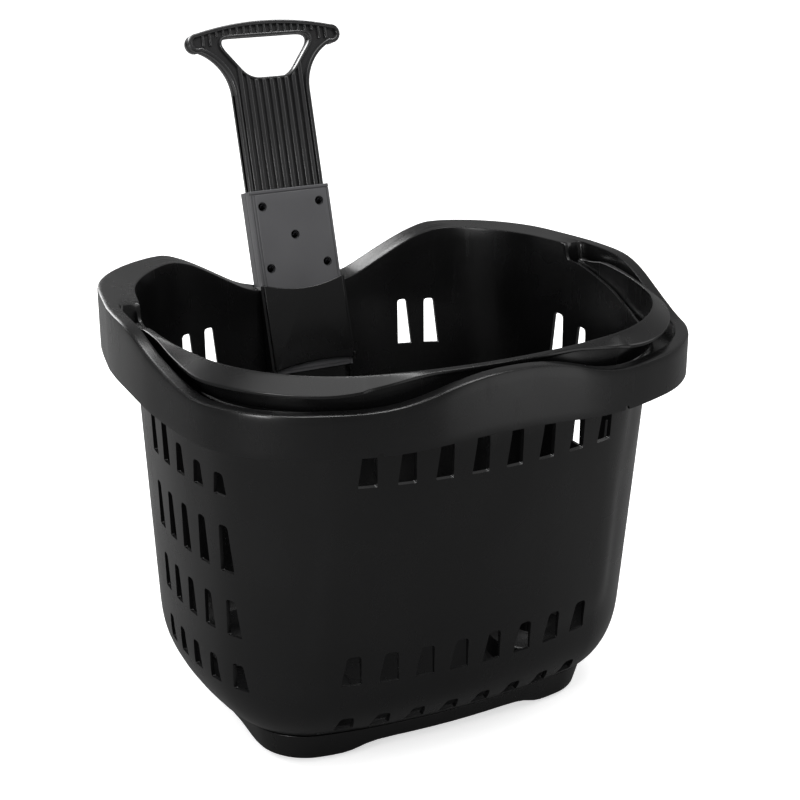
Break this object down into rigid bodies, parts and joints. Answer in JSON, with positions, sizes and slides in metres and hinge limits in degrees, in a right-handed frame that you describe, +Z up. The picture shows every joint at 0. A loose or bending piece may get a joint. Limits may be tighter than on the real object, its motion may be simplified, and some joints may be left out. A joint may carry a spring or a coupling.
{
  "type": "rolling basket trolley",
  "caption": "Deep slotted plastic shopping basket on small swivel castors, with a pull-out tow handle and a fold-down carry handle lying in its wavy rim.",
  "frame": {"origin": "on the floor under the middle of the whole object's box", "axes": "+Z up, pull handle at +Y, front at -Y, +X to the right seen from the front"},
  "size_m": [0.502, 0.5206, 0.6013],
  "materials": {
    "moulded_black": "satin injection moulded polypropylene",
    "sleeve_black": "satin injection moulded polypropylene, slightly lighter",
    "dark_screw_steel": "black oxide",
    "castor_plastic": "satin moulded nylon",
    "castor_steel": "zinc plated pressed steel",
    "wheel_tyre": "matt thermoplastic rubber"
  },
  "bodies": {
    "basket": {"basket_tub": "moulded_black", "base_plinth": "moulded_black", "plinth_screws": "dark_screw_steel", "handle_guide": "moulded_black", "guide_screws": "dark_screw_steel", "carry_handle_pins": "moulded_black", "stem_bush_front_left": "castor_plastic", "stem_bush_front_right": "castor_plastic", "stem_bush_rear_left": "castor_plastic", "stem_bush_rear_right": "castor_plastic"},
    "carry_handle_body": {"carry_handle": "moulded_black"},
    "pull_handle_body": {"pull_handle": "moulded_black", "sleeve_front": "sleeve_black", "sleeve_rear": "sleeve_black", "sleeve_screws": "dark_screw_steel"},
    "castor_front_left": {"castor_stem_front_left": "castor_steel", "castor_fork_front_left": "castor_steel", "castor_axle_front_left": "castor_steel"},
    "wheel_front_left": {"wheel_hub_front_left": "castor_plastic", "wheel_tyre_front_left": "wheel_tyre"},
    "castor_front_right": {"castor_stem_front_right": "castor_steel", "castor_fork_front_right": "castor_steel", "castor_axle_front_right": "castor_steel"},
    "wheel_front_right": {"wheel_hub_front_right": "castor_plastic", "wheel_tyre_front_right": "wheel_tyre"},
    "castor_rear_left": {"castor_stem_rear_left": "castor_steel", "castor_fork_rear_left": "castor_steel", "castor_axle_rear_left": "castor_steel"},
    "wheel_rear_left": {"wheel_hub_rear_left": "castor_plastic", "wheel_tyre_rear_left": "wheel_tyre"},
    "castor_rear_right": {"castor_stem_rear_right": "castor_steel", "castor_fork_rear_right": "castor_steel", "castor_axle_rear_right": "castor_steel"},
    "wheel_rear_right": {"wheel_hub_rear_right": "castor_plastic", "wheel_tyre_rear_right": "wheel_tyre"}
  },
  "joints": [
    {"name": "carry_handle_swing", "type": "hinge", "parent": "basket", "child": "carry_handle_body", "pos_m": [0, -0.00029, 0.377], "axis": [-1, 0, 0], "range_deg": [0, 90]},
    {"name": "pull_handle_slide", "type": "slide", "parent": "basket", "child": "pull_handle_body", "axis": [0, 0.3007, 0.9537], "range_m": [-0.17, 0]},
    {"name": "castor_swivel_front_left", "type": "hinge", "parent": "basket", "child": "castor_front_left", "pos_m": [-0.118, -0.09529, 0.05], "axis": [0, 0, 1], "continuous": true},
    {"name": "wheel_spin_front_left", "type": "hinge", "parent": "castor_front_left", "child": "wheel_front_left", "pos_m": [-0.118, -0.10729, 0.02], "axis": [1, 0, 0], "continuous": true},
    {"name": "castor_swivel_front_right", "type": "hinge", "parent": "basket", "child": "castor_front_right", "pos_m": [0.118, -0.09529, 0.05], "axis": [0, 0, 1], "continuous": true},
    {"name": "wheel_spin_front_right", "type": "hinge", "parent": "castor_front_right", "child": "wheel_front_right", "pos_m": [0.118, -0.10729, 0.02], "axis": [1, 0, 0], "continuous": true},
    {"name": "castor_swivel_rear_left", "type": "hinge", "parent": "basket", "child": "castor_rear_left", "pos_m": [-0.118, 0.03071, 0.05], "axis": [0, 0, 1], "continuous": true},
    {"name": "wheel_spin_rear_left", "type": "hinge", "parent": "castor_rear_left", "child": "wheel_rear_left", "pos_m": [-0.118, 0.01871, 0.02], "axis": [1, 0, 0], "continuous": true},
    {"name": "castor_swivel_rear_right", "type": "hinge", "parent": "basket", "child": "castor_rear_right", "pos_m": [0.118, 0.03071, 0.05], "axis": [0, 0, 1], "continuous": true},
    {"name": "wheel_spin_rear_right", "type": "hinge", "parent": "castor_rear_right", "child": "wheel_rear_right", "pos_m": [0.118, 0.01871, 0.02], "axis": [1, 0, 0], "continuous": true}
  ]
}
